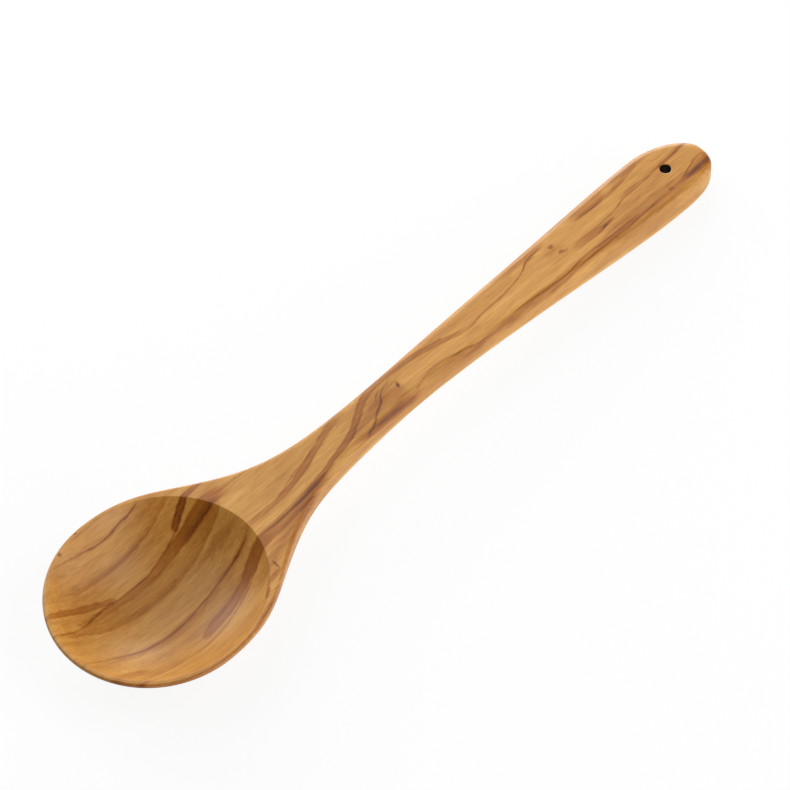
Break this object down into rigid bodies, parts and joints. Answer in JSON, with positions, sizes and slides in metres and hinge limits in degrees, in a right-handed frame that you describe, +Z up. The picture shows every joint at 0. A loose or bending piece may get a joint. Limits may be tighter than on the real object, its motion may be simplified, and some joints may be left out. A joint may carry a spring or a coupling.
{
  "type": "wooden spoon",
  "caption": "Olive-wood serving spoon carved from one piece: round dished bowl, slim arched neck, widening handle with a hanging hole.",
  "frame": {"origin": "middle of the spoon's bounding box on the surface it rests on, with the bowl's underside and the heel of the handle touching that surface", "axes": "+X along the spoon from the bowl to the end of the handle, +Z up out of the open bowl, Y across; the XZ plane is the middle plane of the bowl, neck and handle"},
  "size_m": [0.2996, 0.0722, 0.0233],
  "materials": {
    "olive_wood": "sanded and oiled olive wood, honey gold with dark brown grain streaks, soft satin sheen"
  },
  "bodies": {
    "root": {"spoon": "olive_wood"}
  },
  "joints": []
}
